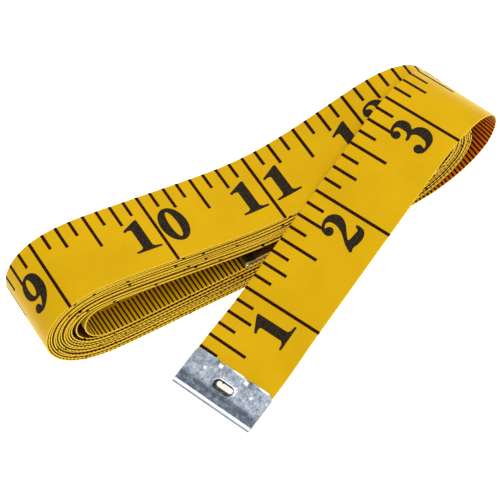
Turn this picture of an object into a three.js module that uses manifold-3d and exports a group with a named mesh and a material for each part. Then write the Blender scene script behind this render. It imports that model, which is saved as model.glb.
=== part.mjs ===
// Dressmaker's tape measure, 3 m (120 in) long, wound into a flattened oval coil with its zero end
// led back over the top of the coil and down to the table. Millimetres, +Z up.
// The tape is one coated glass-cloth strip with a folded sheet-metal ferrule clenched on each end.
// Origin: on the coil's flat underside. +X runs along the coil, the coil's axis is Y, and the tail
// comes off it towards -Y. The strip is cut into stretches only where it flexes.

import * as THREE from "three";
import { mergeVertices } from "three/addons/utils/BufferGeometryUtils.js";
import Module from "manifold-3d";

const wasm = await Module();
wasm.setup();

// ---------------------------------------------------------------- driving dimensions

const INCH = 25.4;
const DEGREE = Math.PI / 180;

const TAPE = { width: 19.2, thickness: 0.4 };

// The wound part: its layers lie one above another at this pitch.
const COIL = {
  pitch: 0.515,
  turns: 13, // whole turns from where the tape leaves the table
  innerEnd: 2.4, // the x where the tape stops, on the bottom run of the innermost turn
  stepFrom: 12, // each turn steps in by one pitch between these two marks of the outline
  stepTo: 13.7,
  slack: 3, // how far the innermost turn stops short of the others, at the end away from the tail
  slackReach: 16, // the length of coil, from that end, that the slack draws in
  endRise: 0.55, // the rise of the tape into its inner ferrule, which lies on the turn below
  endRiseLength: 14,
};

// The strip's outer face lies on the table up to this mark.
const LIFT_OFF = { mark: 5.45, x: 28 };

// Every place where the strip bends across its width: its distance from the zero mark in inches,
// its angle in degrees, and the length in inches that the angle is spread over.
const TAIL_BENDS = [
  { at: 0.66, angle: -5.5, over: 0.5 },
  { at: 3.33, angle: 77, over: 1.87 },
  { at: 3.84, angle: 60.7, over: 1.42 },
  { at: 4.33, angle: 53.3, over: 1.54 },
  { at: 5, angle: 5.2, over: 0.6 },
];
const COIL_BENDS = [
  { at: 8.37, angle: 121.5, over: 2.1 },
  { at: 8.88, angle: 67.8, over: 1.9 },
  { at: 11.06, angle: -24.14, over: 1.65 },
  { at: 12.5, angle: 42.49, over: 1.2 },
  { at: 12.97, angle: 64.06, over: 1.1 },
  { at: 13.36, angle: 88.29, over: 2.49 },
];

// The places where the strip twists about its own length, which turns the tail away from the coil.
const TWISTS = [
  { at: 0.68, angle: -6.8, over: 0.66 },
  { at: 3.96, angle: 26.8, over: 1.22 },
];

// The marks, in inches, where one stretch of the tail folds on the next, and the gap between them.
const FOLDS = { coil: 4.35, loopLow: 3.85, loopHigh: 3.35, tailUpper: 1.75, tailLower: 0.8 };
const HALF_GAP = 0.15 / INCH;

// The ferrule: sheet folded over the tape's end and clenched, with an oblong hanging slot through it.
const FERRULE = {
  width: 19.4,
  length: 9.7,
  sheet: 0.3,
  clearance: 0.06, // between the sheet and the tape that it clenches
  lobes: 3, // the rounded tongues of the edge that bites the tape
  lobeDepth: 0.8,
  slotLength: 5,
  slotWidth: 2.4,
  slotFromFold: 4.7,
};
const END_INSET = FERRULE.sheet + FERRULE.clearance; // from the ferrule's front to the tape's end
const ARC_SIDES = 6; // straight sides in each rounded end or lobe

const WALK_STEP = 0.1; // mm of strip per step when a route is worked out
const STATION_TWIST = 2; // degrees of twist between two cross-sections, at most
const STATION_SAG = 0.05; // mm that a straight run between two cross-sections may cut off the bend
const STRAIGHT = { run: 8, bend: 0.1 }; // mm at least, and degrees at most, for a run left dead straight

// ---------------------------------------------------------------- the strip's route

// The share of a bend that falls on one millimetre of strip: a smooth hump, nothing outside it.
function humpAt(mark, { at, angle, over }) {
  const x = (mark - at) / over;
  if (Math.abs(x) >= 0.5) {
    return 0;
  }
  return ((angle * DEGREE) / (over * INCH)) * (1 + Math.cos(2 * Math.PI * x));
}

function sumAt(mark, humps) {
  return humps.reduce((sum, hump) => sum + humpAt(mark, hump), 0);
}

// A frame on the strip: p on the outer face, t towards higher marks, b across the width towards the
// near edge, n out of the outer face.
function liftOffFrame() {
  return {
    mark: LIFT_OFF.mark,
    p: new THREE.Vector3(LIFT_OFF.x, 0, 0),
    t: new THREE.Vector3(-1, 0, 0),
    b: new THREE.Vector3(0, -1, 0),
    n: new THREE.Vector3(0, 0, -1),
  };
}

// The next frame, one step of signed length along the strip.
function advance(frame, step, bends, twists) {
  const middle = frame.mark + step / 2 / INCH;
  const bend = sumAt(middle, bends) * step;
  const twist = sumAt(middle, twists) * step;
  const turn = frame.b.clone().multiplyScalar(-bend).addScaledVector(frame.t, twist);
  const angle = turn.length();
  const axis = angle > 0 ? turn.normalize() : frame.b;
  const heading = frame.t.clone().applyAxisAngle(axis, angle / 2);
  return {
    mark: frame.mark + step / INCH,
    p: frame.p.clone().addScaledVector(heading, step),
    t: frame.t.clone().applyAxisAngle(axis, angle),
    b: frame.b.clone().applyAxisAngle(axis, angle),
    n: frame.n.clone().applyAxisAngle(axis, angle),
  };
}

// Frames from the lift-off mark to another mark, the way the sign of the distance says.
function walk(toMark, bends, twists) {
  const frames = [liftOffFrame()];
  const distance = (toMark - LIFT_OFF.mark) * INCH;
  const count = Math.ceil(Math.abs(distance) / WALK_STEP);
  for (let i = 0; i < count; i += 1) {
    frames.push(advance(frames[i], distance / count, bends, twists));
  }
  return frames;
}

function runBetween(a, b) {
  return Math.abs(a.mark - b.mark) * INCH;
}

function bendBetween(a, b) {
  return a.t.angleTo(b.t) / DEGREE;
}

function isStraight(a, b) {
  return runBetween(a, b) >= STRAIGHT.run && bendBetween(a, b) < STRAIGHT.bend;
}

function isWorthASection(last, frame) {
  const sag = (bendBetween(last, frame) * DEGREE * runBetween(last, frame)) / 8;
  return sag >= STATION_SAG || last.b.angleTo(frame.b) / DEGREE >= STATION_TWIST;
}

// The frames worth a cross-section: where the strip has turned enough, and where a straight run ends.
function thinOut(frames) {
  const kept = [frames[0]];
  for (let i = 1; i + 1 < frames.length; i += 1) {
    const last = kept[kept.length - 1];
    const endsStraight = isStraight(last, frames[i]) && !isStraight(last, frames[i + 1]);
    if (endsStraight || isWorthASection(last, frames[i])) {
      kept.push(frames[i]);
    }
  }
  kept.push(frames[frames.length - 1]);
  return kept;
}

// ---------------------------------------------------------------- meshes

function indexedGeometry(positions, triangles) {
  const geometry = new THREE.BufferGeometry();
  geometry.setAttribute("position", new THREE.Float32BufferAttribute(positions, 3));
  geometry.setIndex(triangles);
  geometry.computeVertexNormals();
  return geometry;
}

// A closed strip through cross-sections of four corners each, taken in the order of rising marks.
function stripGeometry(sections) {
  const positions = sections.flat().flatMap((corner) => corner.toArray());
  const triangles = [];
  const quad = (a, b, c, d) => triangles.push(a, b, c, a, c, d);
  for (let i = 0; i + 1 < sections.length; i += 1) {
    for (let side = 0; side < 4; side += 1) {
      const next = (side + 1) % 4;
      quad(4 * i + side, 4 * i + next, 4 * i + 4 + next, 4 * i + 4 + side);
    }
  }
  const last = 4 * (sections.length - 1);
  quad(3, 2, 1, 0);
  quad(last, last + 1, last + 2, last + 3);
  return indexedGeometry(positions, triangles);
}

// The point of a frame's cross-section that lies across the width and under the outer face.
function pointOn(frame, across, depth) {
  return frame.p.clone().addScaledVector(frame.b, across).addScaledVector(frame.n, -depth);
}

function tapeSection(frame) {
  const half = TAPE.width / 2;
  return [
    pointOn(frame, -half, 0),
    pointOn(frame, half, 0),
    pointOn(frame, half, TAPE.thickness),
    pointOn(frame, -half, TAPE.thickness),
  ];
}

function solidOf(geometry) {
  const bare = geometry.clone();
  bare.deleteAttribute("normal");
  bare.deleteAttribute("uv");
  const merged = mergeVertices(bare, 1e-4);
  return new wasm.Manifold(
    new wasm.Mesh({
      numProp: 3,
      vertProperties: new Float32Array(merged.attributes.position.array),
      triVerts: new Uint32Array(merged.index.array),
    }),
  );
}

function geometryOf(solid) {
  const { vertProperties, triVerts } = solid.getMesh();
  return indexedGeometry(Array.from(vertProperties), Array.from(triVerts));
}

// A flat outline on the strip, given as (along, across) points in a frame's own plane, as a plate
// between two depths under the outer face.
function plateGeometry(shape, frame, topDepth, bottomDepth) {
  const plate = new THREE.ExtrudeGeometry(shape, {
    depth: bottomDepth - topDepth,
    bevelEnabled: false,
    curveSegments: ARC_SIDES,
  });
  const inward = frame.n.clone().negate();
  const basis = new THREE.Matrix4().makeBasis(frame.t, frame.b, inward);
  basis.setPosition(pointOn(frame, 0, topDepth));
  return plate.applyMatrix4(basis);
}

function meshOf(name, geometry, material) {
  const mesh = new THREE.Mesh(geometry, material);
  mesh.name = name;
  return mesh;
}

// ---------------------------------------------------------------- materials

function tapeMaterial() {
  return new THREE.MeshStandardMaterial({ color: 0xe0b010, roughness: 0.45, metalness: 0 });
}

function ferruleMaterial() {
  return new THREE.MeshStandardMaterial({ color: 0x9aa4ac, roughness: 0.35, metalness: 1 });
}

// ---------------------------------------------------------------- the coil

const OUTLINE_END = 15; // a mark past the point where the outermost turn comes back to its start

// The closed outline that every turn follows: the walk round from lift-off until it is back there,
// with the small error of the meeting point shared out along it.
function coilOutline() {
  const frames = walk(OUTLINE_END, COIL_BENDS, []);
  const { p: start } = frames[0];
  const half = Math.floor(frames.length / 2);
  const end = frames.findIndex((frame, i) => i > half && frame.p.z < start.z + 1 && frame.p.x < start.x);
  const outline = frames.slice(0, end + 1);
  const error = start.clone().sub(outline[end].p);
  outline.forEach((frame, i) => frame.p.addScaledVector(error, i / end));
  return thinOut(outline);
}

function smooth(share) {
  const x = THREE.MathUtils.clamp(share, 0, 1);
  return x * x * (3 - 2 * x);
}

// How deep under the outline a turn lies. The step from one turn to the next is taken at the end
// under the tail, so that the outermost turn is flat on the table.
function depthAt(lap, mark) {
  return COIL.pitch * (lap + smooth((mark - COIL.stepFrom) / (COIL.stepTo - COIL.stepFrom)));
}

// How far a point of the innermost turns is drawn in from the coil's end.
function slackAt(lap, x, endX) {
  const share = Math.max(0, lap - COIL.turns + 3) / 2;
  return COIL.slack * share ** 2 * smooth(1 - (x - endX) / COIL.slackReach);
}

// The wound strip as frames of its outer face, from where it lifts off to its inner end.
function coilFrames() {
  const outline = coilOutline();
  const endX = Math.min(...outline.map((frame) => frame.p.x));
  const frames = [];
  for (let lap = 0; lap < COIL.turns; lap += 1) {
    for (const base of outline.slice(0, -1)) {
      const p = pointOn(base, 0, depthAt(lap, base.mark));
      p.x += slackAt(lap, p.x, endX);
      frames.push({ ...base, p });
    }
  }
  return [...frames, ...innerEndFrames(outline[0])];
}

// The short last run along the bottom, rising a little to clear the turn below.
function innerEndFrames(start) {
  const top = pointOn(start, 0, depthAt(COIL.turns, 0));
  const run = start.p.x - COIL.innerEnd;
  const flat = FERRULE.length + 1;
  const steps = [0, run - flat - COIL.endRiseLength, run - flat, run];
  return steps.map((along) => {
    const rise = COIL.endRise * smooth((along - steps[1]) / COIL.endRiseLength);
    return { ...start, p: top.clone().addScaledVector(start.t, along).setZ(top.z + rise) };
  });
}

function tapeCoil(lead, wound, material) {
  const sections = [...lead, ...wound.slice(1)].map(tapeSection);
  return meshOf("tape_coil", stripGeometry(sections), material);
}

// ---------------------------------------------------------------- the tail

// The frame of a finely walked route at a mark.
function frameAt(route, mark) {
  const off = (frame) => Math.abs(frame.mark - mark);
  return route.reduce((best, frame) => (off(frame) < off(best) ? frame : best));
}

// The frames of a route between two marks, thinned out, in the order of rising marks.
function stretch(route, highMark, lowMark) {
  const first = route.indexOf(frameAt(route, highMark));
  const last = route.indexOf(frameAt(route, lowMark));
  return thinOut(route.slice(first, last + 1)).reverse();
}

function tapeStretch(name, route, highMark, lowMark, material) {
  const frames = stretch(route, highMark - HALF_GAP, lowMark + HALF_GAP);
  return meshOf(name, stripGeometry(frames.map(tapeSection)), material);
}

// The stretch that ends inside the zero-end ferrule, flat for as long as the ferrule grips it.
function tapeTip(route, material) {
  const end = frameAt(route, END_INSET / INCH);
  const bent = stretch(route, FOLDS.tailLower - HALF_GAP, (FERRULE.length + 0.1) / INCH);
  return meshOf("tape_tip", stripGeometry([end, ...bent].map(tapeSection)), material);
}

// ---------------------------------------------------------------- the ferrules

// The oblong slot, its length across the tape.
function slotPath(centre) {
  const half = FERRULE.slotLength / 2 - FERRULE.slotWidth / 2;
  const radius = FERRULE.slotWidth / 2;
  const path = new THREE.Path();
  path.absarc(centre, half, radius, 0, Math.PI);
  path.absarc(centre, -half, radius, Math.PI, 2 * Math.PI);
  path.closePath();
  return path;
}

// One leaf of the ferrule: square at the fold, lobed at the edge that bites the tape.
function leafShape() {
  const half = FERRULE.width / 2;
  const pitch = FERRULE.width / FERRULE.lobes;
  const valley = FERRULE.length - FERRULE.lobeDepth;
  const shape = new THREE.Shape();
  shape.moveTo(0, -half);
  shape.lineTo(valley, -half);
  for (let lobe = 0; lobe < FERRULE.lobes; lobe += 1) {
    const start = -half + lobe * pitch;
    for (let i = 1; i <= ARC_SIDES; i += 1) {
      const share = i / ARC_SIDES;
      shape.lineTo(valley + FERRULE.lobeDepth * Math.sin(Math.PI * share), start + pitch * share);
    }
  }
  shape.lineTo(0, half);
  shape.closePath();
  return shape;
}

// The bar that joins the two leaves in front of the tape's end.
function foldShape() {
  const half = FERRULE.width / 2;
  const shape = new THREE.Shape();
  shape.moveTo(0, -half);
  shape.lineTo(FERRULE.sheet, -half);
  shape.lineTo(FERRULE.sheet, half);
  shape.lineTo(0, half);
  shape.closePath();
  return shape;
}

function slotCutter(frame) {
  const shape = new THREE.Shape(slotPath(FERRULE.slotFromFold).getPoints(ARC_SIDES));
  const reach = 4 * FERRULE.sheet;
  return solidOf(plateGeometry(shape, frame, -reach, TAPE.thickness + reach));
}

// A ferrule whose fold is at a frame and whose leaves run along the frame's t.
function ferrule(name, frame, material) {
  const top = -FERRULE.clearance;
  const bottom = TAPE.thickness + FERRULE.clearance;
  const { sheet } = FERRULE;
  const upper = solidOf(plateGeometry(leafShape(), frame, top - sheet, top));
  const lower = solidOf(plateGeometry(leafShape(), frame, bottom, bottom + sheet));
  const fold = solidOf(plateGeometry(foldShape(), frame, top - sheet, bottom + sheet));
  const whole = upper.add(lower).add(fold).subtract(slotCutter(frame));
  return meshOf(name, geometryOf(whole), material);
}

// A tape mesh with the ferrule's slot cut through it as well.
function withSlot(mesh, frame) {
  const cut = solidOf(mesh.geometry).subtract(slotCutter(frame));
  return meshOf(mesh.name, geometryOf(cut), mesh.material);
}

// A frame one length further back, seen from the other side of the strip's end.
function endOn(frame, back) {
  return {
    p: frame.p.clone().addScaledVector(frame.t, back),
    t: frame.t.clone().negate(),
    b: frame.b.clone().negate(),
    n: frame.n,
  };
}

// ---------------------------------------------------------------- the assembly

function build() {
  const tape = tapeMaterial();
  const metal = ferruleMaterial();
  const group = new THREE.Group();
  const tail = walk(0, TAIL_BENDS, TWISTS);
  const zero = frameAt(tail, 0);
  const wound = coilFrames();
  const inner = endOn(wound[wound.length - 1], END_INSET);
  const lead = stretch(tail, LIFT_OFF.mark, FOLDS.coil + HALF_GAP);
  group.add(withSlot(tapeCoil(lead, wound, tape), inner));
  group.add(ferrule("ferrule_inner_end", inner, metal));

  group.add(tapeStretch("tape_loop_low", tail, FOLDS.coil, FOLDS.loopLow, tape));
  group.add(tapeStretch("tape_loop_high", tail, FOLDS.loopLow, FOLDS.loopHigh, tape));
  group.add(tapeStretch("tape_tail_upper", tail, FOLDS.loopHigh, FOLDS.tailUpper, tape));
  group.add(tapeStretch("tape_tail_lower", tail, FOLDS.tailUpper, FOLDS.tailLower, tape));
  group.add(withSlot(tapeTip(tail, tape), zero));
  group.add(ferrule("ferrule_zero_end", zero, metal));
  return group;
}

export default build();
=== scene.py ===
"""Looks of a soft dressmaker's tape measure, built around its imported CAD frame.

Lengths are in millimetres until a mesh is made, and marks are in inches from the tape's zero end.
"""

import math

import bpy
import numpy as np
from mathutils import Matrix, Vector


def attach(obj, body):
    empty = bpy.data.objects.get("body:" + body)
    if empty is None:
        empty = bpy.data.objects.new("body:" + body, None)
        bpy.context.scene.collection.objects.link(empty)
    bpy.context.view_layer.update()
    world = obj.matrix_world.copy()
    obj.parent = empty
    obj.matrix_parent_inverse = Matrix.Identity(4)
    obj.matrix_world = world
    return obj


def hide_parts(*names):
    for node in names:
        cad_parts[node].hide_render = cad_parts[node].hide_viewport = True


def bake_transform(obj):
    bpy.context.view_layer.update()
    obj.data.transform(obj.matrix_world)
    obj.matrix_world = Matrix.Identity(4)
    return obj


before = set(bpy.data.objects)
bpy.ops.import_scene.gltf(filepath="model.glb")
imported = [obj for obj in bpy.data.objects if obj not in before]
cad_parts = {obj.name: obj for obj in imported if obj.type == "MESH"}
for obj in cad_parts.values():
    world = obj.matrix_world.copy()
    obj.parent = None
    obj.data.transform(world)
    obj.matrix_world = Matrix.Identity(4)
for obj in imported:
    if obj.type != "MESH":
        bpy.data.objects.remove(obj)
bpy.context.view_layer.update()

MM = 0.001
INCH = 25.4
CM_PER_INCH = 2.54

# ------------------------------------------------------------------ the object's dimensions, as in the CAD

WIDTH = 19.2
THICKNESS = 0.37  # the CAD strip is 0.4; the thinner one lets the gaps between turns show
HALF = WIDTH / 2

PITCH = 0.515
LAPS = 13
INNER_END = 2.4
STEP_FROM, STEP_TO = 12.0, 13.7
SLACK, SLACK_REACH = 3.0, 16.0
END_RISE, END_RISE_LENGTH = 0.55, 14.0
LIFT_OFF_MARK, LIFT_OFF_X = 5.45, 28.0
OUTLINE_END = 15.0

# (mark, degrees, inches) of every bend and twist
TAIL_BENDS = [(0.66, -5.5, 0.5), (3.33, 77, 1.87), (3.84, 60.7, 1.42), (4.33, 53.3, 1.54), (5, 5.2, 0.6)]
COIL_BENDS = [
    (8.37, 121.5, 2.1),
    (8.88, 67.8, 1.9),
    (11.06, -24.14, 1.65),
    (12.5, 42.49, 1.2),
    (12.97, 64.06, 1.1),
    (13.36, 88.29, 2.49),
]
TWISTS = [(0.68, -6.8, 0.66), (3.96, 26.8, 1.22)]

FERRULE_WIDTH = 19.4
FERRULE_LENGTH = 9.7
SHEET = 0.3
CLEARANCE = 0.06
LOBES = 3
LOBE_DEPTH = 0.8
SLOT_LENGTH, SLOT_WIDTH, SLOT_FROM_FOLD = 5.0, 2.4, 4.7
END_INSET = SHEET + CLEARANCE

# ------------------------------------------------------------------ the strip's route

WALK_STEP = 0.1


def rate(mark, humps):
    """Radians per mm that the strip turns at a mark: each bend is one smooth hump."""
    total = 0.0
    for at, angle, over in humps:
        x = (mark - at) / over
        if abs(x) < 0.5:
            total += math.radians(angle) / (over * INCH) * (1 + math.cos(2 * math.pi * x))
    return total


def walk(to_mark, bends, twists):
    """Rows of mark, point, along, across, outward, from where the strip lifts off the table."""
    mark = LIFT_OFF_MARK
    p, t, b = Vector((LIFT_OFF_X, 0, 0)), Vector((-1, 0, 0)), Vector((0, -1, 0))
    rows = [(mark, *p, *t, *b, *b.cross(t))]
    count = math.ceil(abs(to_mark - mark) * INCH / WALK_STEP)
    step = (to_mark - mark) * INCH / count
    for _ in range(count):
        middle = mark + step / 2 / INCH
        turn = b * (-rate(middle, bends) * step) + t * (rate(middle, twists) * step)
        half = Matrix.Rotation(turn.length / 2, 3, turn) if turn.length > 0 else Matrix.Identity(3)
        p = p + half @ t * step
        t, b = half @ half @ t, half @ half @ b
        mark += step / INCH
        rows.append((mark, *p, *t, *b, *b.cross(t)))
    return np.array(rows)


def smooth(share):
    x = np.clip(share, 0, 1)
    return x * x * (3 - 2 * x)


def coil_outline():
    rows = walk(OUTLINE_END, COIL_BENDS, [])
    x, z = rows[:, 1], rows[:, 3]
    late = np.arange(len(rows)) > len(rows) // 2
    end = int(np.argmax(late & (z < 1) & (x < LIFT_OFF_X)))
    rows = rows[: end + 1]
    error = rows[0, 1:4] - rows[end, 1:4]
    rows[:, 1:4] += error * (np.arange(end + 1) / end)[:, None]
    return rows


LOOSE_END = 1.1  # mm that the innermost lap's far bend has crept in beyond its slack
SWAY = 0.14  # mm that a lap strays to either side
BREATH = 0.035  # mm that the gap between two laps opens and closes


def coil_rows():
    """The wound strip: every lap follows the outline, one pitch deeper than the lap before."""
    outline = coil_outline()
    end_x = outline[:, 1].min()
    laps = []
    for lap in range(LAPS):
        rows = outline[:-1].copy()
        turns = lap + np.linspace(0, 1, len(rows), endpoint=False)
        settled = smooth((turns - 1) / 1.5)
        depth = PITCH * (lap + smooth((rows[:, 0] - STEP_FROM) / (STEP_TO - STEP_FROM)))
        depth += BREATH * settled * np.sin(turns * 17.3)
        rows[:, 1:4] -= rows[:, 10:13] * depth[:, None]
        rows[:, 2] += SWAY * settled * (np.sin(turns * 9.1) + 0.6 * np.sin(turns * 23.7 + 1))
        share = max(0, lap - LAPS + 3) / 2
        creep = SLACK * share**2 + LOOSE_END * (turns / LAPS) ** 1.5
        rows[:, 1] += creep * smooth(1 - (rows[:, 1] - end_x) / SLACK_REACH)
        laps.append(rows)
    run = LIFT_OFF_X - INNER_END
    along = np.arange(0, run, WALK_STEP)
    last = np.repeat(outline[:1], len(along), axis=0)
    rise_from = run - FERRULE_LENGTH - 1 - END_RISE_LENGTH
    last[:, 1] -= along
    last[:, 3] += PITCH * LAPS + END_RISE * smooth((along - rise_from) / END_RISE_LENGTH)
    return np.concatenate(laps + [last])


MAX_RUN = {"tail": 0.8, "coil": 1.5}
MAX_TURN = math.radians(6)


def strip_stations():
    """The whole tape as rows of mark, point, along, across, outward, at the cross-sections of its mesh."""
    tail = walk(0, TAIL_BENDS, TWISTS)[::-1]
    coil = coil_rows()
    rows = np.concatenate([tail[:-1], coil])
    run = np.linalg.norm(np.diff(rows[:, 1:4], axis=0), axis=1)
    s = np.concatenate([[0], np.cumsum(run)])
    rows[:, 0] = s / INCH
    kept = [0]
    for i in range(1, len(rows) - 1):
        j = kept[-1]
        longest = MAX_RUN["tail" if rows[i, 0] < LIFT_OFF_MARK else "coil"]
        turned = math.acos(max(-1.0, min(1.0, float(rows[i, 10:13] @ rows[j, 10:13]))))
        if s[i] - s[j] >= longest or turned >= MAX_TURN:
            kept.append(i)
    kept.append(len(rows) - 1)
    return rows[kept]


STATIONS = strip_stations()
TAPE_END = STATIONS[-1, 0]


def at_marks(marks):
    """Point, along, across and outward on the strip, between its cross-sections as its flat faces run."""
    marks = np.atleast_1d(marks)
    cols = [np.interp(marks, STATIONS[:, 0], STATIONS[:, k]) for k in range(1, 13)]
    values = np.stack(cols, axis=1)
    return values[:, 0:3], values[:, 3:6], values[:, 6:9], values[:, 9:12]


# ------------------------------------------------------------------ meshes


def new_object(name, points, faces, material, uvs=None, smooth_faces=True):
    """A mesh object from points in mm. uvs holds (along, across) in mm for each face's every corner."""
    mesh = bpy.data.meshes.new(name)
    mesh.from_pydata((np.asarray(points) * MM).tolist(), [], [list(f) for f in faces])
    mesh.materials.append(material)
    if uvs is not None:
        layer = mesh.uv_layers.new(name="UVMap")
        layer.data.foreach_set("uv", (np.asarray(uvs) / 10).astype(np.float32).ravel())
    is_smooth = smooth_faces if isinstance(smooth_faces, list) else [smooth_faces] * len(faces)
    mesh.polygons.foreach_set("use_smooth", is_smooth)
    obj = bpy.data.objects.new(name, mesh)
    bpy.context.scene.collection.objects.link(obj)
    return obj


def corner_uvs(faces, uvs):
    return np.concatenate([np.asarray(uvs)[list(f)] for f in faces])


def plate_faces(faces, rim, size):
    """Faces of a closed plate: the given ones, the same again size points on, and the walls between."""
    made = [tuple(f) for f in faces]
    made += [tuple(size + i for i in reversed(f)) for f in faces]
    made += [(end, start, size + start, size + end) for start, end in rim]
    return made


EDGE_RADIUS = 0.13
EDGE_STEPS = 3
FACE_INSET = 0.25  # from the rounding of an edge to the first point of the flat face
SLOT_EASE = 0.2  # how much wider the tape's own slot is than the ferrule's, all round
TIP_CELL = 0.3
TIP_JOIN = 8.0  # where the plain strip takes over from the slotted tip, inside the ferrule


def edge_arc(side, inner):
    """(across, depth) round one long edge's corner, from the face to the cut edge."""
    points = []
    for i in range(EDGE_STEPS + 1):
        a = math.pi / 2 * i / EDGE_STEPS
        across = side * (HALF - EDGE_RADIUS + EDGE_RADIUS * math.sin(a))
        depth = EDGE_RADIUS - EDGE_RADIUS * math.cos(a)
        points.append((across, THICKNESS - depth if inner else depth))
    return points


def tape_profile():
    """(across, depth) round the tape's cross-section, with both long edges softly rounded."""
    last = HALF - EDGE_RADIUS - FACE_INSET
    flat = [-last, -HALF / 2, 0, HALF / 2, last]
    outer = [(a, 0) for a in flat]
    inner = [(a, THICKNESS) for a in reversed(flat)]
    near = edge_arc(1, False) + edge_arc(1, True)[::-1]
    far = edge_arc(-1, True) + edge_arc(-1, False)[::-1]
    return np.array(outer + near + inner + far)


def strip_points(marks, profile):
    p, _, b, n = at_marks(marks)
    across, depth = profile[:, 0], profile[:, 1]
    return p[:, None] + b[:, None] * across[None, :, None] - n[:, None] * depth[None, :, None]


def strip_mesh(low, high):
    """Points, faces, corner uvs and smoothness of the tape between two marks, as one closed solid."""
    inside = STATIONS[(STATIONS[:, 0] > low + 1e-3) & (STATIONS[:, 0] < high - 1e-3), 0]
    marks = np.concatenate([[low], inside, [high]])
    profile = tape_profile()
    count = len(profile)
    points = strip_points(marks, profile).reshape(-1, 3)
    sides = np.linalg.norm(np.diff(profile, axis=0, append=profile[:1]), axis=1)
    around = profile[0, 0] + np.concatenate([[0], np.cumsum(sides)])
    faces, uvs = [], []
    for i in range(len(marks) - 1):
        u0, u1 = marks[i] * INCH, marks[i + 1] * INCH
        for j in range(count):
            k = (j + 1) % count
            faces.append((i * count + j, i * count + k, (i + 1) * count + k, (i + 1) * count + j))
            uvs += [(u0, around[j]), (u0, around[j + 1]), (u1, around[j + 1]), (u1, around[j])]
    smooth_flags = [True] * len(faces) + [False, False]
    for first, step in ((0, -1), ((len(marks) - 1) * count, 1)):
        cap = list(range(count))[::step]
        faces.append(tuple(first + c for c in cap))
        uvs += [(profile[c, 0], profile[c, 1]) for c in cap]
    return points, faces, uvs, smooth_flags


def plate_mesh():
    """The tape's tip inside the ferrule, with the hanging slot through it."""
    us = np.arange(END_INSET - TIP_CELL, TIP_JOIN + 2 * TIP_CELL, TIP_CELL)
    vs = np.arange(-HALF - TIP_CELL, HALF + 2 * TIP_CELL, TIP_CELL)
    u, v = np.meshgrid(us, vs, indexing="ij")
    field = np.maximum(np.maximum(END_INSET - u, u - TIP_JOIN), np.abs(v) - HALF)
    straight = np.maximum(np.abs(v) - (SLOT_LENGTH - SLOT_WIDTH) / 2, 0)
    field = np.maximum(field, SLOT_WIDTH / 2 + SLOT_EASE - np.hypot(u - SLOT_FROM_FOLD, straight))
    flat, faces, rim = filled(field, us, vs)
    p, _, b, n = at_marks(flat[:, 0] / INCH)
    outer = p + b * flat[:, 1:2]
    made = plate_faces(faces, rim, len(flat))
    uvs = corner_uvs(made, np.concatenate([flat, flat]))
    return np.concatenate([outer, outer - n * THICKNESS]), made, uvs.tolist(), [False] * len(made)


def tip_mesh(high):
    """The slotted tip, and the plain strip from inside the ferrule up to a mark."""
    points, faces, uvs, flags = strip_mesh(TIP_JOIN / INCH, high)
    tip_points, tip_faces, tip_uvs, tip_flags = plate_mesh()
    faces += [tuple(len(points) + i for i in f) for f in tip_faces]
    return np.concatenate([points, tip_points]), faces, uvs + tip_uvs, flags + tip_flags


def tape_strip(name, low, high, material):
    points, faces, uvs, flags = strip_mesh(low, high) if low > 0 else tip_mesh(high)
    obj = new_object(name, points, faces, material, uvs, flags)
    mark_sharp(obj)
    return obj


# ------------------------------------------------------------------ ink

INK_HEIGHT = 0.022
INK_DEPTH = 0.02


class Ink:
    """Printed marks gathered into one mesh: each is a thin closed plate that follows the tape."""

    def __init__(self):
        self.points, self.faces, self.uvs, self.count = [], [], [], 0

    def add(self, points, faces, uvs):
        self.points.append(points)
        self.uvs.append(uvs)
        self.faces += [tuple(self.count + i for i in f) for f in faces]
        self.count += len(points)

    def made(self, name, material):
        uvs = corner_uvs(self.faces, np.concatenate(self.uvs))
        points = np.concatenate(self.points)
        return new_object(name, points, self.faces, material, uvs, smooth_faces=False)


INK_WRAP = math.radians(72)  # how far the millimetre scale runs round the tape's rounded edge
LINE_WRAP = math.radians(90)  # how far an inch line does, before it runs down the cut edge


def stroke_path(start, end, inner, wrap_start, wrap_end):
    """Rows of across, depth, and the outward normal's across and depth parts, along a stroke."""
    face, out = (THICKNESS, 1) if inner else (0, -1)
    low, high = min(start, end), max(start, end)
    path = []
    for side, wrapped in ((-1, wrap_start), (1, wrap_end)):
        rows = []
        if wrapped:
            for angle in np.linspace(0, wrapped, EDGE_STEPS + 1):
                across = side * (HALF - EDGE_RADIUS + EDGE_RADIUS * math.sin(angle))
                depth = face - out * EDGE_RADIUS * (1 - math.cos(angle))
                rows.append((across, depth, side * math.sin(angle), out * math.cos(angle)))
            if wrapped == LINE_WRAP:
                rows.append((side * HALF, face - out * (THICKNESS - EDGE_RADIUS), side, 0))
        else:
            rows.append((low if side < 0 else high, face, 0, out))
        path += rows[::-1] if side < 0 else rows
    return np.array(path, float)


def add_stroke(ink, mark, width, start, end, inner=False, wrap_start=0.0, wrap_end=0.0):
    """One straight tick across the tape. wrap_start and wrap_end are how far it turns round each edge."""
    path = stroke_path(start, end, inner, wrap_start, wrap_end)
    marks = mark + np.array([-0.5, 0.5]) * width / INCH
    top = path[:, :2] + path[:, 2:] * INK_HEIGHT
    bottom = path[:, :2] - path[:, 2:] * INK_DEPTH
    count = len(path)
    ring = np.concatenate([top, bottom[::-1]])
    points = strip_points(marks, ring).reshape(-1, 3)
    size = 2 * count
    faces = []
    for j in range(size):
        k = (j + 1) % size
        faces.append((j, k, size + k, size + j))
    for j in range(count - 1):
        a, b = j, size - 1 - j
        faces.append((a, b, b - 1, a + 1))
        faces.append((size + a, size + a + 1, size + b - 1, size + b))
    if inner:
        faces = [f[::-1] for f in faces]
    uvs = np.stack([np.repeat(marks * INCH, size), np.tile(ring[:, 0], 2)], axis=1)
    ink.add(points, faces, uvs)


# ------------------------------------------------------------------ numerals


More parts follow.
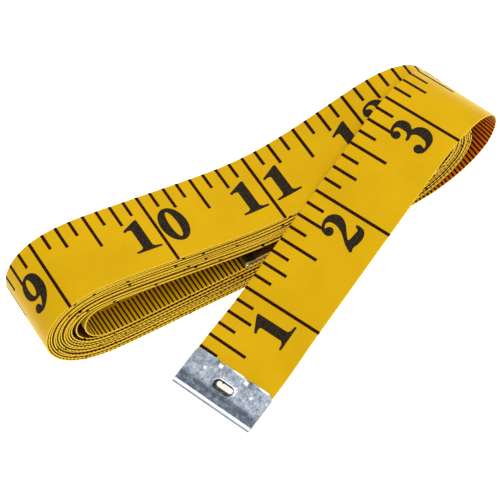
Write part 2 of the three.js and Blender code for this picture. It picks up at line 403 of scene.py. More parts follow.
def ellipse(x, y, cx, cy, rx, ry):
    return (np.hypot((x - cx) / rx, (y - cy) / ry) - 1) * min(rx, ry)


def ring(x, y, outer, inner):
    return np.maximum(ellipse(x, y, *outer), -ellipse(x, y, *inner))


def polygon(x, y, corners):
    """Signed distance to a polygon, negative inside."""
    corners = np.array(corners, float)
    best = np.full(x.shape, 1e9)
    inside = np.zeros(x.shape, bool)
    for (x1, y1), (x2, y2) in zip(corners, np.roll(corners, -1, axis=0)):
        ex, ey = x2 - x1, y2 - y1
        h = np.clip(((x - x1) * ex + (y - y1) * ey) / (ex * ex + ey * ey), 0, 1)
        best = np.minimum(best, np.hypot(x - x1 - ex * h, y - y1 - ey * h))
        if y1 != y2:
            inside ^= ((y1 > y) != (y2 > y)) & (x < ex * (y - y1) / (y2 - y1) + x1)
    return np.where(inside, -best, best)


def brush(x, y, *stops):
    """A stroke of changing weight through (x, y, radius) stops, along a smooth curve."""
    stops = np.array(stops, float)
    padded = np.concatenate([stops[:1], stops, stops[-1:]])
    best = np.full(x.shape, 1e9)
    for i in range(len(stops) - 1):
        a, b, c, d = padded[i : i + 4]
        for u in np.linspace(0, 1, 14):
            curved = (2 * a - 5 * b + 4 * c - d) * u**2 + (3 * b - a - 3 * c + d) * u**3
            q = b + 0.5 * ((c - a) * u + curved)
            best = np.minimum(best, np.hypot(x - q[0], y - q[1]) - q[2])
    return best


def join(*parts):
    return np.minimum.reduce(parts)


ONE_SCALE = 0.93  # the 1 is a little smaller than the other figures


def digit_field(digit, x, y):
    """Negative inside a bold numeral one unit high, in a slab-serif style."""
    if digit == 0:
        return ring(x, y, (0.31, 0.5, 0.31, 0.5), (0.31, 0.5, 0.11, 0.455))
    if digit == 1:
        x = 0.33 + (x - 0.33) / ONE_SCALE
        y = 0.5 + (y - 0.5) / ONE_SCALE
        flag = [(0.45, 1), (0.4, 1), (0.01, 0.79), (0.02, 0.745), (0.12, 0.78), (0.21, 0.75)]
        stem = [(0.21, 0.02), (0.45, 0.02)] + flag
        right = [(0.66, 0), (0.66, 0.035), (0.52, 0.055), (0.44, 0.12)]
        left = [(0.22, 0.12), (0.14, 0.055), (0, 0.035)]
        return join(polygon(x, y, stem), polygon(x, y, [(0, 0)] + right + left))
    if digit == 2:
        return join(
            ellipse(x, y, 0.155, 0.75, 0.1, 0.1),
            brush(x, y, (0.075, 0.78, 0.02), (0.13, 0.9, 0.025), (0.29, 0.965, 0.032), (0.43, 0.9, 0.075),
                  (0.485, 0.76, 0.105), (0.44, 0.6, 0.085), (0.31, 0.43, 0.045), (0.14, 0.24, 0.03),
                  (0.04, 0.06, 0.03)),
            brush(x, y, (0.05, 0.08, 0.03), (0.16, 0.14, 0.085), (0.3, 0.11, 0.1), (0.44, 0.1, 0.095),
                  (0.55, 0.13, 0.055), (0.6, 0.27, 0.02)),
        )
    if digit == 3:
        return join(
            ellipse(x, y, 0.14, 0.8, 0.09, 0.09),
            brush(x, y, (0.07, 0.84, 0.02), (0.14, 0.935, 0.025), (0.28, 0.97, 0.03), (0.41, 0.9, 0.078),
                  (0.44, 0.76, 0.1), (0.38, 0.62, 0.055), (0.26, 0.535, 0.026), (0.18, 0.53, 0.024)),
            brush(x, y, (0.22, 0.535, 0.024), (0.35, 0.545, 0.035), (0.49, 0.44, 0.09), (0.52, 0.27, 0.115),
                  (0.44, 0.1, 0.08), (0.28, 0.03, 0.03), (0.13, 0.05, 0.028), (0.05, 0.13, 0.022)),
            ellipse(x, y, 0.125, 0.17, 0.1, 0.1),
        )
    if digit == 4:
        return join(
            polygon(x, y, [(0.34, 0.03), (0.54, 0.03), (0.54, 1), (0.48, 1), (0.34, 0.82)]),
            brush(x, y, (0.5, 0.97, 0.022), (0.26, 0.61, 0.022), (0.03, 0.26, 0.022)),
            polygon(x, y, [(0, 0.225), (0.66, 0.225), (0.66, 0.28), (0, 0.28)]),
            polygon(x, y, [(0.22, 0), (0.66, 0), (0.66, 0.045), (0.22, 0.045)]),
        )
    if digit == 5:
        return join(
            brush(x, y, (0.12, 0.93, 0.05), (0.28, 0.915, 0.08), (0.44, 0.94, 0.055), (0.54, 0.99, 0.01)),
            brush(x, y, (0.1, 0.96, 0.022), (0.1, 0.74, 0.022), (0.1, 0.52, 0.022)),
            brush(x, y, (0.1, 0.51, 0.022), (0.24, 0.6, 0.032), (0.39, 0.58, 0.07), (0.5, 0.45, 0.1),
                  (0.52, 0.28, 0.115), (0.44, 0.1, 0.08), (0.28, 0.03, 0.03), (0.13, 0.05, 0.028),
                  (0.05, 0.13, 0.022)),
            ellipse(x, y, 0.125, 0.17, 0.095, 0.095),
        )
    if digit == 6:
        return digit_field(9, 0.62 - x, 1 - y)
    if digit == 7:
        return join(
            brush(x, y, (0.05, 0.76, 0.02), (0.06, 0.92, 0.03), (0.17, 0.9, 0.075), (0.32, 0.88, 0.07),
                  (0.46, 0.92, 0.045), (0.58, 0.97, 0.025)),
            brush(x, y, (0.57, 0.96, 0.02), (0.46, 0.7, 0.03), (0.34, 0.42, 0.06), (0.28, 0.2, 0.09),
                  (0.28, 0.09, 0.09)),
        )
    if digit == 8:
        return join(
            ring(x, y, (0.31, 0.75, 0.25, 0.25), (0.32, 0.77, 0.09, 0.2)),
            ring(x, y, (0.31, 0.27, 0.3, 0.27), (0.3, 0.25, 0.11, 0.21)),
        )
    return join(
        ring(x, y, (0.3, 0.67, 0.29, 0.33), (0.275, 0.67, 0.1, 0.285)),
        brush(x, y, (0.48, 0.74, 0.1), (0.51, 0.52, 0.1), (0.475, 0.3, 0.085), (0.37, 0.12, 0.055),
              (0.25, 0.035, 0.032), (0.12, 0.06, 0.025)),
        ellipse(x, y, 0.145, 0.13, 0.1, 0.1),
    )


def filled(field, xs, ys):
    """The region where a field is negative, as points and polygons cut out of a grid, and its rim edges."""
    index, points, faces = {}, [], []

    def vertex(key, point):
        if key not in index:
            index[key] = len(points)
            points.append(point)
        return index[key]

    inside = field < 0
    for i in range(len(xs) - 1):
        for j in range(len(ys) - 1):
            corners = [(i, j), (i + 1, j), (i + 1, j + 1), (i, j + 1)]
            flags = [inside[c] for c in corners]
            if not any(flags):
                continue
            loop = []
            for c, d in zip(corners, corners[1:] + corners[:1]):
                if inside[c]:
                    loop.append(vertex(c, (xs[c[0]], ys[c[1]])))
                if inside[c] != inside[d]:
                    u = field[c] / (field[c] - field[d])
                    u = min(0.98, max(0.02, u if c < d else u))
                    px = xs[c[0]] + (xs[d[0]] - xs[c[0]]) * u
                    py = ys[c[1]] + (ys[d[1]] - ys[c[1]]) * u
                    loop.append(vertex((min(c, d), max(c, d)), (px, py)))
            faces.append(loop)
    directed = {(a, b) for f in faces for a, b in zip(f, f[1:] + f[:1])}
    rim = [(a, b) for a, b in directed if (b, a) not in directed]
    return np.array(points), faces, rim


DIGITS = {}
BOLDER = 0.013  # how far every outline is pushed out, in figure heights


def digit_shape(digit, cell):
    key = (digit, cell)
    if key not in DIGITS:
        xs = np.arange(-0.06, 0.74, cell)
        ys = np.arange(-0.06, 1.08, cell)
        x, y = np.meshgrid(xs, ys, indexing="ij")
        DIGITS[key] = filled(digit_field(digit, x, y) - BOLDER, xs, ys)
    return DIGITS[key]


DIGIT_MIDDLE = 0.32
INCH_FIGURE_CELL = 0.025  # grid that a figure is cut out of, in figure heights
CM_FIGURE_CELL = 0.05


def add_digit(ink, digit, centre_mark, foot, height, inner=False, cell=INCH_FIGURE_CELL):
    """A numeral centred at a mark. Its foot is at an across distance, and its head towards the ticks."""
    shape, faces, rim = digit_shape(digit, cell)
    marks = centre_mark + (shape[:, 0] - DIGIT_MIDDLE) * height / INCH
    across = foot + shape[:, 1] * height * (1 if inner else -1)
    p, _, b, n = at_marks(marks)
    outward = -n if inner else n
    face = p - n * (THICKNESS if inner else 0) + b * across[:, None]
    points = np.concatenate([face + outward * INK_HEIGHT, face - outward * INK_DEPTH])
    uvs = np.stack([np.tile(marks * INCH, 2), np.tile(across, 2)], axis=1)
    ink.add(points, plate_faces(faces, rim, len(shape)), uvs)


# ------------------------------------------------------------------ the print

TICK_WIDTH = 0.7
TICK_REACH = {1: 0.23, 2: 0.32, 4: 0.49, 8: 1.0}  # share of the width, by the eighths that divide the mark
FIGURE_HEAD, FIGURE_FOOT = 0.29, 0.77
FIGURE_HEIGHT = (FIGURE_FOOT - FIGURE_HEAD) * WIDTH
ONE_FIGURE = -0.18  # inches from the line to the middle of a lone figure
TWO_FIGURES = (-0.165, 0.15)

MM_TICK_WIDTH = 0.4
MM_REACH = {1: 0.3, 5: 0.42, 10: 0.985}
CM_FIGURE_HEIGHT = 5.6
CM_FIGURE_PITCH = 0.72 * CM_FIGURE_HEIGHT
CM_FIGURE_FOOT = HALF - MM_REACH[5] * WIDTH - 1 - CM_FIGURE_HEIGHT
FIRST_TICK = FERRULE_LENGTH - 1
TICK_FREE_END = 0.3  # inches without ticks at the inner end, under its ferrule


def inch_ticks(ink, low, high):
    eighth = math.ceil(low * 8)
    while eighth < high * 8:
        step = max(k for k in TICK_REACH if eighth % k == 0)
        mark = eighth / 8
        end = -HALF + TICK_REACH[step] * WIDTH
        wrap_end = LINE_WRAP if step == 8 else 0.0
        if FIRST_TICK / INCH < mark < TAPE_END - TICK_FREE_END:
            add_stroke(ink, mark, TICK_WIDTH, -HALF, end, wrap_start=INK_WRAP, wrap_end=wrap_end)
        eighth += 1


def inch_figures(ink, low, high):
    foot = -HALF + FIGURE_FOOT * WIDTH
    for number in range(max(1, math.ceil(low)), math.ceil(high)):
        figures = [int(c) for c in str(number)]
        places = [ONE_FIGURE] if len(figures) == 1 else TWO_FIGURES
        for figure, place in zip(figures, places):
            add_digit(ink, figure, number + place, foot, FIGURE_HEIGHT)


def mm_ticks(ink, low, high):
    mm = math.ceil(low * INCH)
    while mm < high * INCH:
        step = max(k for k in MM_REACH if mm % k == 0)
        start = HALF - MM_REACH[step] * WIDTH
        if FERRULE_LENGTH < mm < TAPE_END * INCH - FERRULE_LENGTH:
            add_stroke(ink, mm / INCH, MM_TICK_WIDTH, start, HALF, inner=True, wrap_end=INK_WRAP)
        mm += 1


def cm_figures(ink, low, high):
    for number in range(max(1, math.ceil(low * CM_PER_INCH)), math.ceil(high * CM_PER_INCH)):
        figures = [int(c) for c in str(number)]
        for i, figure in enumerate(figures):
            mark = (number * 10 + (i - len(figures) + 0.3) * CM_FIGURE_PITCH) / INCH
            add_digit(ink, figure, mark, CM_FIGURE_FOOT, CM_FIGURE_HEIGHT, inner=True, cell=CM_FIGURE_CELL)


# ------------------------------------------------------------------ materials


class Nodes:
    """A short way to write a node tree."""

    def __init__(self, name):
        self.material = bpy.data.materials.new(name)
        self.material.use_nodes = True
        self.tree = self.material.node_tree
        self.shader = self.tree.nodes["Principled BSDF"]

    def add(self, kind, settings=(), **inputs):
        node = self.tree.nodes.new(kind)
        for key, value in dict(settings).items():
            setattr(node, key, value)
        for key, value in inputs.items():
            self.put(node.inputs[key.replace("_", " ")], value)
        return node

    def put(self, socket, value):
        if isinstance(value, bpy.types.NodeSocket):
            self.tree.links.new(value, socket)
        elif socket.type == "RGBA" and len(value) == 3:
            socket.default_value = (*value, 1)
        else:
            socket.default_value = value

    def math(self, operation, a, b=0.0):
        node = self.tree.nodes.new("ShaderNodeMath")
        node.operation = operation
        self.put(node.inputs[0], a)
        self.put(node.inputs[1], b)
        return node.outputs[0]

    def mix(self, factor, a, b, blend="MIX"):
        node = self.tree.nodes.new("ShaderNodeMix")
        node.data_type = "RGBA"
        node.blend_type = blend
        self.put(node.inputs["Factor"], factor)
        self.put(node.inputs[6], a)
        self.put(node.inputs[7], b)
        return node.outputs[2]

    def ramp(self, value, low, high, to_low=0.0, to_high=1.0):
        node = self.add("ShaderNodeMapRange", Value=value)
        for key, number in (("From Min", low), ("From Max", high), ("To Min", to_low), ("To Max", to_high)):
            node.inputs[key].default_value = number
        return node.outputs[0]


def srgb(r, g, b):
    """A colour given as it looks on a screen, 0 to 255, as linear light."""
    shares = [c / 255 for c in (r, g, b)]
    return tuple(c / 12.92 if c <= 0.04045 else ((c + 0.055) / 1.055) ** 2.4 for c in shares)


THREAD = 0.48  # mm from one thread of the cloth to the next

# Where the two cut edges start, in mm round the tape's cross-section, and how far round each runs.
EDGE_GIRTH = math.pi * EDGE_RADIUS + THICKNESS - 2 * EDGE_RADIUS
NEAR_EDGE = HALF - EDGE_RADIUS
FAR_EDGE = 3 * NEAR_EDGE + EDGE_GIRTH

# In cm along the tape: where its faces go into the shade between the turns, and come out of it.
SHADED_FROM = (38.0, 42.0)
SHADED_TO = ((TAPE_END - 9.2) * CM_PER_INCH, (TAPE_END - 9.8) * CM_PER_INCH)

# In cm along the tape's back: the part inside the open loop, lit orange-red by the tape round it.
LOOP_GLOW_FROM = (8.4, 9.2)
LOOP_GLOW_TO = (12.2, 11.4)


def weave(nodes):
    """Height of a plain weave, 0 to 1, from the strip's own along and across coordinates in cm."""
    uv = nodes.add("ShaderNodeUVMap", {"uv_map": "UVMap"}).outputs[0]
    parts = nodes.add("ShaderNodeSeparateXYZ", Vector=uv)
    turns = math.pi * 10 / THREAD
    along = nodes.math("SINE", nodes.math("MULTIPLY", parts.outputs[0], turns))
    across = nodes.math("SINE", nodes.math("MULTIPLY", parts.outputs[1], turns))
    return uv, nodes.ramp(nodes.math("MULTIPLY", along, across), -1, 1)


def cut_edge(nodes, girth, start):
    """1 on the cut edge whose rounding starts at a girth in mm, fading to 0 on the faces."""
    end = start + EDGE_GIRTH
    return nodes.math(
        "MULTIPLY",
        nodes.ramp(girth, (start + 0.05) / 10, (start + 0.09) / 10),
        nodes.ramp(girth, (end - 0.07) / 10, (end - 0.11) / 10),
    )


def tape_material():
    nodes = Nodes("coated_cloth")
    uv, threads = weave(nodes)
    along, girth, _ = nodes.add("ShaderNodeSeparateXYZ", Vector=uv).outputs
    back = nodes.math("GREATER_THAN", girth, (HALF + 0.2) / 10)
    blotch = nodes.add("ShaderNodeTexNoise", Vector=uv, Scale=0.9, Detail=3.0).outputs[0]
    grain = nodes.add("ShaderNodeTexNoise", Vector=uv, Scale=26.0, Detail=2.0).outputs[0]
    tone = nodes.mix(nodes.ramp(blotch, 0.35, 0.65), srgb(196, 152, 3), srgb(204, 160, 4))
    tone = nodes.mix(nodes.ramp(grain, 0.4, 0.75, 0, 0.3), tone, srgb(172, 133, 8))
    tone = nodes.mix(nodes.ramp(threads, 0, 1, 0, 0.09), tone, srgb(222, 188, 30))
    cut = nodes.math("ADD", cut_edge(nodes, girth, NEAR_EDGE), cut_edge(nodes, girth, FAR_EDGE))
    tone = nodes.mix(nodes.math("MULTIPLY", cut, 0.5), tone, srgb(236, 200, 58))
    in_loop = nodes.math("MULTIPLY", nodes.ramp(along, *LOOP_GLOW_FROM), nodes.ramp(along, *LOOP_GLOW_TO))
    glow = nodes.math("MULTIPLY", nodes.math("MULTIPLY", back, in_loop), 0.85)
    tone = nodes.mix(glow, tone, srgb(216, 104, 18))
    enclosed = nodes.math("MULTIPLY", nodes.ramp(along, *SHADED_FROM), nodes.ramp(along, *SHADED_TO))
    on_face = nodes.math("SUBTRACT", 1.0, cut)
    shade = nodes.math("MULTIPLY", nodes.math("MULTIPLY", enclosed, on_face), 0.88)
    tone = nodes.mix(shade, tone, srgb(104, 46, 5))
    # Painted sheen: paler where the face turns away from the view, except in the painted shade between the
    # turns.
    graze = nodes.add("ShaderNodeLayerWeight", Blend=0.5).outputs["Facing"]
    painted_sheen = nodes.math("MULTIPLY", nodes.ramp(graze, 0.5, 0.95, 0, 0.6), nodes.math("SUBTRACT", 1.0, shade))
    tone = nodes.mix(painted_sheen, tone, srgb(224, 202, 120))
    nodes.put(nodes.shader.inputs["Base Color"], tone)
    nodes.put(nodes.shader.inputs["Roughness"], nodes.ramp(grain, 0.3, 0.7, 0.46, 0.56))
    nodes.shader.inputs["Specular IOR Level"].default_value = 0.05
    height = nodes.math("ADD", nodes.math("MULTIPLY", threads, 0.6), nodes.math("MULTIPLY", grain, 0.4))
    bump = nodes.add("ShaderNodeBump", Height=height, Strength=0.3, Distance=0.00003)
    nodes.put(nodes.shader.inputs["Normal"], bump.outputs[0])
    return nodes.material


def ink_material(name, dark, light):
    nodes = Nodes(name)
    uv, threads = weave(nodes)
    grain = nodes.add("ShaderNodeTexNoise", Vector=uv, Scale=18.0, Detail=3.0).outputs[0]
    tone = nodes.mix(nodes.ramp(grain, 0.42, 0.62), dark, light)
    tone = nodes.mix(nodes.ramp(threads, 0.4, 1, 0, 0.6), tone, light)
    nodes.put(nodes.shader.inputs["Base Color"], tone)
    nodes.put(nodes.shader.inputs["Roughness"], nodes.ramp(grain, 0.3, 0.7, 0.5, 0.65))
    nodes.shader.inputs["Specular IOR Level"].default_value = 0.03
    bump = nodes.add("ShaderNodeBump", Height=threads, Strength=0.2, Distance=0.00002)
    nodes.put(nodes.shader.inputs["Normal"], bump.outputs[0])
    return nodes.material


def metal_material(name, dark, light, highlight_colour):
    nodes = Nodes(name)
    place = nodes.add("ShaderNodeTexCoord").outputs["Object"]
    painted_highlight = nodes.add("ShaderNodeAttribute", {"attribute_name": "painted_highlight"}).outputs["Fac"]
    painted_shade = nodes.add("ShaderNodeAttribute", {"attribute_name": "painted_shade"}).outputs["Fac"]
    blotch = nodes.add("ShaderNodeTexNoise", Vector=place, Scale=900.0, Detail=6.0, Roughness=0.7).outputs[0]
    fine = nodes.add("ShaderNodeTexNoise", Vector=place, Scale=2600.0, Detail=3.0).outputs[0]
    stretched = nodes.add("ShaderNodeMapping", Vector=place)
    stretched.inputs["Scale"].default_value = (300, 4200, 900)
    stretched.inputs["Rotation"].default_value = (0, 0, 0.9)
    scratch = nodes.add("ShaderNodeTexNoise", Vector=stretched.outputs[0], Scale=1.0, Detail=2.0).outputs[0]
    tone = nodes.mix(nodes.ramp(blotch, 0.36, 0.66), dark, light)
    tone = nodes.mix(nodes.ramp(fine, 0.42, 0.62, 0, 0.6), tone, dark)
    tone = nodes.mix(nodes.ramp(scratch, 0.62, 0.7, 0, 0.4), tone, srgb(190, 196, 204))
    # Painted shade, made patchy by the blotch noise, darkens the sheet toward blue-grey.
    patchy_shade = nodes.math("MULTIPLY", painted_shade, nodes.ramp(blotch, 0.66, 0.46, 0.6, 0.95))
    tone = nodes.mix(patchy_shade, tone, srgb(66, 73, 85))
    # Painted highlights and reflections lighten the sheet toward its brightest colour.
    tone = nodes.mix(painted_highlight, tone, highlight_colour)
    nodes.put(nodes.shader.inputs["Base Color"], tone)
    nodes.shader.inputs["Metallic"].default_value = 1
    nodes.put(nodes.shader.inputs["Roughness"], nodes.ramp(fine, 0.3, 0.7, 0.26, 0.42))
    height = nodes.math("ADD", nodes.math("MULTIPLY", scratch, 0.5), nodes.math("MULTIPLY", blotch, 1.0))
    bump = nodes.add("ShaderNodeBump", Height=height, Strength=0.5, Distance=0.0001)
    nodes.put(nodes.shader.inputs["Normal"], bump.outputs[0])
    return nodes.material


def floor_material():
    nodes = Nodes("pale_floor")
    place = nodes.add("ShaderNodeTexCoord").outputs["Object"]
    grain = nodes.add("ShaderNodeTexNoise", Vector=place, Scale=40.0).outputs[0]
    tone = nodes.mix(grain, srgb(246, 246, 246), srgb(250, 250, 250))
    nodes.put(nodes.shader.inputs["Base Color"], tone)
    nodes.shader.inputs["Roughness"].default_value = 0.9
    nodes.shader.inputs["Emission Color"].default_value = (1, 1, 1, 1)
    nodes.shader.inputs["Emission Strength"].default_value = 0.72
    return nodes.material


# ------------------------------------------------------------------ the ferrules

LEAF_CELL = 0.15
LEAF_CORNER = 1.6
NOTCH = LOBE_DEPTH + 0.2
FOLD_RADIUS = THICKNESS / 2 + CLEARANCE + SHEET
FOLD_HALF = math.pi * FOLD_RADIUS / 2
LEAF_END = FOLD_HALF + FERRULE_LENGTH - FOLD_RADIUS
BARB_SIZE = 0.8
BARB_ACROSS = FERRULE_WIDTH / 6
BARB_FROM_END = LOBE_DEPTH + 0.75
PRONG_FROM_FOLD, PRONG_ACROSS = 6.0, 5.85


def ferrule_field(u, v):
    """Negative on the sheet of the ferrule, laid out flat: u runs over the fold from leaf to leaf."""
    away = np.abs(u)
    half = FERRULE_WIDTH / 2
    phase = (v + half) / (FERRULE_WIDTH / LOBES)
    edge = LEAF_END - NOTCH + NOTCH * np.abs(np.sin(np.pi * phase)) ** 0.85
    sheet = np.maximum(away - edge, np.abs(v) - half)
    past_along = np.maximum(away - (LEAF_END - 1.0 - LEAF_CORNER), 0)
    past_across = np.maximum(np.abs(v) - (half - LEAF_CORNER), 0)
    sheet = np.maximum(sheet, np.hypot(past_along, past_across) - LEAF_CORNER * 1.25)
    return np.maximum(sheet, -slot_field(away, v))


def slot_field(away, v):
    centre = FOLD_HALF + SLOT_FROM_FOLD - FOLD_RADIUS
    straight = np.maximum(np.abs(v) - (SLOT_LENGTH - SLOT_WIDTH) / 2, 0)
    return np.hypot(away - centre, straight) - SLOT_WIDTH / 2


def leaf_height(u, v):
    """How far the sheet stands proud of a flat leaf: slot rim, barbs, lobes, prong marks and groove."""
    away = np.abs(u)
    rim = np.exp(-((slot_field(away, v) / 0.4) ** 2)) * 0.12
    barb = 0.14 * smooth(0.5 - barb_reach(away, v) / 0.3)
    crown = np.abs(np.sin(np.pi * (v + FERRULE_WIDTH / 2) / (FERRULE_WIDTH / LOBES)))
    lobe = 0.12 * crown * smooth((away - LEAF_END + 4) / 3)
    lobe -= 0.1 * smooth((away - LEAF_END + 0.9) / 0.9)
    groove = -0.12 * np.exp(-(((away - FOLD_HALF - 1.8) / 0.7) ** 2))
    prong = 0.1 * np.exp(-((prong_distance(away, v) / 0.35) ** 2))
    return np.where(away > FOLD_HALF - 0.3, rim + barb + lobe + groove + prong, 0)


def barb_reach(away, v):
    """Negative inside the two square barbs."""
    from_middle = np.maximum(np.abs(away - LEAF_END + BARB_FROM_END), np.abs(np.abs(v) - BARB_ACROSS))
    return from_middle - BARB_SIZE / 2


def prong_distance(away, v):
    """How far from the nearer of the two marks that the clenched prongs raise."""
    return np.hypot(away - FOLD_HALF - PRONG_FROM_FOLD + FOLD_RADIUS, np.abs(v) - PRONG_ACROSS)


def worn_bright(u, v):
    """Painted highlights and reflections on the sheet: fold, the slot rim's rear side, barbs, prong marks and
    the lobes' edges.
    """
    away = np.abs(u)
    fold = smooth(2 - np.abs(u - FOLD_HALF + 0.02) / 0.22)
    barb = smooth(0.5 - barb_reach(away, v) / 0.3)
    rear = smooth(0.5 + (away - FOLD_HALF - SLOT_FROM_FOLD + FOLD_RADIUS) / 1.2)
    rim = 0.8 * rear * smooth(1 - np.abs(slot_field(away, v) - 0.1) / 0.22)
    phase = (v + FERRULE_WIDTH / 2) / (FERRULE_WIDTH / LOBES) % 1
    side = smooth((phase - 0.35) / 0.2) * smooth((0.88 - phase) / 0.12) * (v > -FERRULE_WIDTH / 6)
    lobe = smooth(1.3 + ferrule_field(u, v) / 0.3) * (away > LEAF_END - 2) * side
    prong = smooth(1.4 - prong_distance(away, v) / 0.3)
    return np.clip(np.maximum.reduce([fold, barb, rim, lobe, 0.8 * prong]), 0, 1)


def grime_dark(u, v):
    """Painted shade on the sheet: behind the fold, in a thin line just behind it, beside the barbs and under
    the fold's nose.
    """
    away = np.abs(u)
    groove = smooth((away - FOLD_HALF - 0.2) / 0.5) * smooth((FOLD_HALF + 3.5 - away) / 1.8)
    line = np.exp(-(((away - FOLD_HALF - 0.52) / 0.14) ** 2))
    beside = np.abs(np.abs(v) - BARB_ACROSS - 0.9) / 0.8
    dent = smooth(1.2 - beside) * smooth((away - LEAF_END + 3) / 2)
    nose = smooth(2 - np.abs(u - 0.05) / 0.2)
    return np.clip(np.maximum.reduce([groove, 0.8 * dent, nose, line]), 0, 1)


def folded(u, v, lift, origin):
    """Points of the folded sheet's outer face, raised by lift. origin is point, along, across, outward."""
    p, t, b, n = origin
    angle = np.clip(u, -FOLD_HALF, FOLD_HALF) / FOLD_RADIUS
    radius = FOLD_RADIUS + lift
    along = FOLD_RADIUS - radius * np.cos(angle) + np.maximum(np.abs(u) - FOLD_HALF, 0)
    height = radius * np.sin(angle) - THICKNESS / 2
    return p + along[:, None] * t + v[:, None] * b + height[:, None] * n


def ferrule_sheet(name, origin, material):
    us = np.arange(-LEAF_END - LEAF_CELL, LEAF_END + 2 * LEAF_CELL, LEAF_CELL)
    vs = np.arange(-FERRULE_WIDTH / 2 - LEAF_CELL, FERRULE_WIDTH / 2 + 2 * LEAF_CELL, LEAF_CELL)
    u, v = np.meshgrid(us, vs, indexing="ij")
    flat, faces, rim = filled(ferrule_field(u, v), us, vs)
    lift = leaf_height(flat[:, 0], flat[:, 1])
    outer = folded(flat[:, 0], flat[:, 1], lift, origin)
    inner = folded(flat[:, 0], flat[:, 1], lift - SHEET, origin)
    made = [f[::-1] for f in plate_faces(faces, rim, len(flat))]
    obj = new_object(name, np.concatenate([outer, inner]), made, material)
    # The painted highlights and the painted shade are stored on the sheet as point attributes.
    for attribute, amount in (("painted_highlight", worn_bright), ("painted_shade", grime_dark)):
        values = np.tile(amount(flat[:, 0], flat[:, 1]), 2).astype(np.float32)
        obj.data.attributes.new(attribute, "FLOAT", "POINT").data.foreach_set("value", values)
    mark_sharp(obj)
    return obj


def mark_sharp(obj, degrees=40):
    """Keeps hard edges crisp on a smooth-shaded mesh."""
    mesh = obj.data
    sharp = mesh.attributes.get("sharp_edge") or mesh.attributes.new("sharp_edge", "BOOLEAN", "EDGE")
    normals = {}
    for face in mesh.polygons:
        for key in face.edge_keys:
            normals.setdefault(key, []).append(face.normal)
    limit = math.cos(math.radians(degrees))
    flags = []
    for edge in mesh.edges:
        both = normals.get(tuple(sorted(edge.vertices)), [])
        flags.append(len(both) == 2 and both[0].dot(both[1]) < limit)
    sharp.data.foreach_set("value", flags)


COLLAR_STEPS = 40


def slot_collar(name, origin, material):
    """The rolled wall inside the hanging slot, from one leaf to the other."""
    p, t, b, n = origin
    straight = (SLOT_LENGTH - SLOT_WIDTH) / 2
    top = CLEARANCE + SHEET - 0.02
    bottom = -THICKNESS - top
    rings = [
        # radius less the slot's, height, how far the ring sits back from the fold
        (0.1, top - 0.1, 0),
        (-0.04, top, 0),
        (-0.14, top - 0.12, 0),
        (-0.55, bottom + 0.12, 0.5),
        (-0.3, bottom, 0.2),
        (0.1, bottom + 0.1, 0),
    ]
    rows = []
    for wider, height, set_back in rings:
        radius = SLOT_WIDTH / 2 + wider
        for i in range(COLLAR_STEPS):
            turn = 2 * math.pi * i / COLLAR_STEPS
            along = SLOT_FROM_FOLD + set_back + radius * math.cos(turn)
            across = math.copysign(straight, math.sin(turn)) + radius * math.sin(turn)
            rows.append(p + t * along + b * across + n * height)
    faces = []
    for i in range(len(rings)):
        this, after = i * COLLAR_STEPS, (i + 1) % len(rings) * COLLAR_STEPS
        for j in range(COLLAR_STEPS):
            k = (j + 1) % COLLAR_STEPS
            faces.append((this + j, after + j, after + k, this + k))
    return new_object(name, np.array(rows), faces, material)


# ------------------------------------------------------------------ the assembly

SEAMS = [0, 1.1875, 2.5625, 3.5625, 4.0625, 4.6875]
STRETCHES = [
    # name, body before, body after, marks where the bend between them starts and ends, CAD nodes stood for
    ("tip_and_tail", "tip", "tail_lower", 0.6, 1.0, ["tape_tip", "tape_tail_lower"]),
    ("tail", "tail_lower", "tail_upper", 1.38, 1.88, ["tape_tail_upper"]),
    ("loop_top", "tail_upper", "loop_high", 3.1, 3.54, ["tape_loop_high"]),
    ("loop_side", "loop_high", "loop_low", 3.62, 4.02, ["tape_loop_low"]),
    ("loop_foot", "loop_low", "coil", 4.1, 4.6, []),
]
PRINTED_UNTIL = 15  # beyond this mark the outer face is hidden between turns
FIGURE_OFFSET = 0.3  # a figure belongs to the stretch that lies this many inches before its line
INNER_TURN = 9  # inches at the inner end whose back shows inside the coil
END_WITHOUT_FIGURES = 0.8


def build_tape():
    cloth = tape_material()
    line_ink = ink_material("line_ink", srgb(26, 8, 4), srgb(52, 20, 8))
    figure_ink = ink_material("figure_ink", srgb(28, 22, 15), srgb(50, 42, 29))
    for (name, before, after, start, end, nodes), low, high in zip(STRETCHES, SEAMS, SEAMS[1:]):
        strip = tape_strip("tape_" + name, low, high, cloth)
        lines, figures = Ink(), Ink()
        inch_ticks(lines, low, high)
        mm_ticks(lines, low, high)
        inch_figures(figures, low + FIGURE_OFFSET, high + FIGURE_OFFSET)
        cm_figures(figures, low, high)
        pieces = [strip, lines.made("lines_" + name, line_ink), figures.made("figures_" + name, figure_ink)]
        for piece in pieces:
            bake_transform(piece)
        if nodes:
            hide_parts(*nodes)
    low, high = SEAMS[-1], TAPE_END
    strip = tape_strip("tape_wound", low, high, cloth)
    lines, figures = Ink(), Ink()
    inch_ticks(lines, low, high)
    mm_ticks(lines, low, high)
    inch_figures(figures, low + FIGURE_OFFSET, PRINTED_UNTIL)
    cm_figures(figures, TAPE_END - INNER_TURN, high - END_WITHOUT_FIGURES)
    pieces = [strip, lines.made("lines_wound", line_ink), figures.made("figures_wound", figure_ink)]
    for piece in pieces:
        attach(piece, "coil")
    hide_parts("tape_coil")


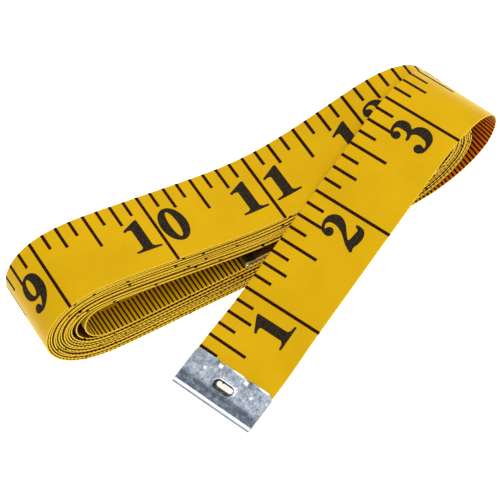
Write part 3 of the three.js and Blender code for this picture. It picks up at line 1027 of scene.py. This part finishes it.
def build_ferrules():
    metal = metal_material("tinned_sheet", srgb(106, 115, 127), srgb(176, 184, 194), srgb(238, 241, 244))
    # The slot's wall is the same metal painted dark: painted shade inside the slot.
    shaded_collar_metal = metal_material("slot_wall_painted_shade", srgb(24, 25, 24), srgb(58, 60, 57), srgb(150, 152, 150))
    zero = tuple(v[0] for v in at_marks(0.0))
    p, t, b, n = (v[0] for v in at_marks(TAPE_END))
    inner = (p + t * END_INSET, -t, -b, n)
    # The inner ferrule's metal is tinted brown: a painted reflection of the yellow tape above it, in shade.
    tape_reflection_metal = metal_material("sheet_painted_tape_reflection", srgb(122, 98, 62), srgb(158, 134, 96), srgb(240, 238, 230))
    for name, origin, body, look in (("zero_end", zero, "tip", metal), ("inner_end", inner, "coil", tape_reflection_metal)):
        sheet = ferrule_sheet("ferrule_sheet_" + name, origin, look)
        collar = slot_collar("ferrule_slot_" + name, origin, shaded_collar_metal)
        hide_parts("ferrule_" + name)
        for piece in (sheet, collar):
            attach(piece, body)


# ------------------------------------------------------------------ camera, light, floor

CAMERA = {"azimuth": -24.0, "elevation": 51.6, "roll": -6.36, "distance": 611.0, "lens": 208.6}
TARGET = Vector((4.3, -8.5, 10.0))


def build_camera():
    azimuth, elevation, roll = (math.radians(CAMERA[k]) for k in ("azimuth", "elevation", "roll"))
    level = Vector((-math.sin(azimuth), math.cos(azimuth), 0))
    forward = level * math.cos(elevation) - Vector((0, 0, math.sin(elevation)))
    right = Vector((math.cos(azimuth), math.sin(azimuth), 0))
    up = right.cross(forward)
    level_right, level_up = right, up
    right = level_right * math.cos(roll) + level_up * math.sin(roll)
    up = level_up * math.cos(roll) - level_right * math.sin(roll)
    data = bpy.data.cameras.new("camera")
    data.sensor_width = 36
    data.lens = CAMERA["lens"]
    data.clip_start, data.clip_end = 0.01, 20
    camera = bpy.data.objects.new("camera", data)
    bpy.context.scene.collection.objects.link(camera)
    turn = Matrix((right, up, -forward)).transposed().to_4x4()
    camera.matrix_world = Matrix.Translation((TARGET - forward * CAMERA["distance"]) * MM) @ turn
    bpy.context.scene.camera = camera


def area_light(name, place, aim, size, power):
    data = bpy.data.lights.new(name, "AREA")
    data.shape = "DISK"
    data.size = size
    data.energy = power
    light = bpy.data.objects.new(name, data)
    bpy.context.scene.collection.objects.link(light)
    light.location = place
    light.rotation_euler = (Vector(aim) - Vector(place)).to_track_quat("-Z", "Y").to_euler()


def build_sky():
    """Soft light from all round, brightest overhead, so that bare metal shows its shape."""
    world = bpy.data.worlds.new("studio")
    world.use_nodes = True
    tree = world.node_tree
    place = tree.nodes.new("ShaderNodeTexCoord")
    parts = tree.nodes.new("ShaderNodeSeparateXYZ")
    rise = tree.nodes.new("ShaderNodeMapRange")
    for key, number in (("From Min", 0.0), ("From Max", 0.9), ("To Min", 0.55), ("To Max", 1.12)):
        rise.inputs[key].default_value = number
    tree.links.new(place.outputs["Generated"], parts.inputs[0])
    tree.links.new(parts.outputs[2], rise.inputs["Value"])
    tree.links.new(rise.outputs[0], tree.nodes["Background"].inputs["Strength"])
    tree.nodes["Background"].inputs["Color"].default_value = (1, 1, 1, 1)
    bpy.context.scene.world = world


OVERHEAD = {"place": (0.35, -0.25, 0.85), "aim": (0, 0, 0), "size": 0.8, "power": 4.0}
FLOOR_HALF = 2000


def build_studio():
    build_sky()
    bpy.context.scene.view_settings.view_transform = "Standard"
    area_light("overhead", **OVERHEAD)
    low, high = -FLOOR_HALF, FLOOR_HALF
    corners = [(low, low, 0), (high, low, 0), (high, high, 0), (low, high, 0)]
    points = np.array(corners, float)
    floor = new_object("floor", points, [(0, 1, 2, 3)], floor_material(), smooth_faces=False)


build_tape()
build_ferrules()
build_camera()
build_studio()
